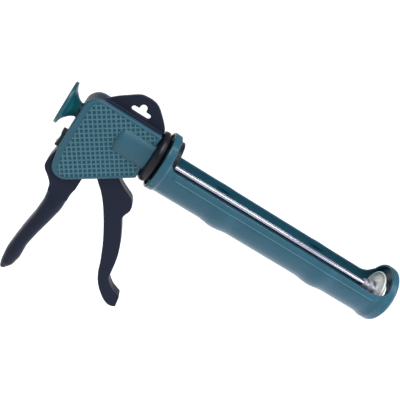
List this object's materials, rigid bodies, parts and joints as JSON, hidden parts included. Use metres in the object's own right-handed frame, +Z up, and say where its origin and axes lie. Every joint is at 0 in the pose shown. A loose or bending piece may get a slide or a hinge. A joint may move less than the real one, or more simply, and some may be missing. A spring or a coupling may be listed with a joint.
{
  "type": "caulking gun",
  "caption": "Hand caulking gun with a closed housing and hang tab, an open half-round cradle that turns, a push rod with pull knob and piston, a hooked trigger and a thumb release.",
  "frame": {"origin": "On the rod axis, at the front face of the retaining disc where the cartridge's base stands.", "axes": "+X forward along the rod to the nozzle end, +Z up to the hang tab, +Y to the user's left."},
  "size_m": [0.3539, 0.0574, 0.2154],
  "materials": {
    "teal_enamel": "smooth, satin gloss",
    "teal_plastic": "satin, fine square pattern on the covers",
    "navy_plastic": "satin moulded",
    "black_plastic": "glossy",
    "dark_button": "satin moulded",
    "bright_rod": "bright plated",
    "zinc_plate": "dull zinc plated",
    "fastener_steel": "zinc plated",
    "spring_steel": "drawn wire"
  },
  "bodies": {
    "frame": {"core_frame": "navy_plastic", "right_cover": "teal_plastic", "left_cover": "teal_plastic", "cover_screws": "fastener_steel", "front_hub": "black_plastic", "hub_screws": "fastener_steel", "retaining_disc": "black_plastic", "disc_screws": "fastener_steel", "front_bush": "black_plastic", "rear_bush": "black_plastic", "spring_seat": "fastener_steel", "trigger_pin": "fastener_steel", "catch_pin": "fastener_steel", "drive_spring": "spring_steel", "catch_spring": "spring_steel"},
    "cradle": {"cradle": "teal_enamel"},
    "plunger": {"plunger_rod": "bright_rod", "pull_knob": "teal_plastic", "knob_screw": "fastener_steel", "piston_hub": "bright_rod", "piston_washer": "bright_rod", "piston_disc": "zinc_plate", "piston_nut": "fastener_steel"},
    "trigger": {"trigger": "navy_plastic"},
    "drive_plate": {"drive_plate": "fastener_steel"},
    "release": {"catch_plate": "fastener_steel", "release_button": "dark_button"}
  },
  "joints": [
    {"name": "cradle_turn", "type": "hinge", "parent": "frame", "child": "cradle", "pos_m": [0, 0, 0], "axis": [1, 0, 0], "continuous": true},
    {"name": "rod_slide", "type": "slide", "parent": "frame", "child": "plunger", "axis": [1, 0, 0], "range_m": [-0.215, 0]},
    {"name": "trigger_pull", "type": "hinge", "parent": "frame", "child": "trigger", "pos_m": [-0.0525, 0, -0.034], "axis": [0, 1, 0], "range_deg": [0, 28], "stiffness_Nm_per_rad": 0.6, "springref_deg": -20.05},
    {"name": "drive_slide", "type": "slide", "parent": "frame", "child": "drive_plate", "axis": [1, 0, 0], "range_m": [0, 0.0126], "deforming": ["drive_spring"]},
    {"name": "release_press", "type": "hinge", "parent": "frame", "child": "release", "pos_m": [-0.0835, 0, 0.0146], "axis": [0, -1, 0], "range_deg": [0, 5], "stiffness_Nm_per_rad": 0.8, "springref_deg": -11.46, "deforming": ["catch_spring"]}
  ],
  "couplings": [
    {"joint": "drive_slide", "follows": "trigger_pull", "m_per_rad": 0.0257}
  ]
}
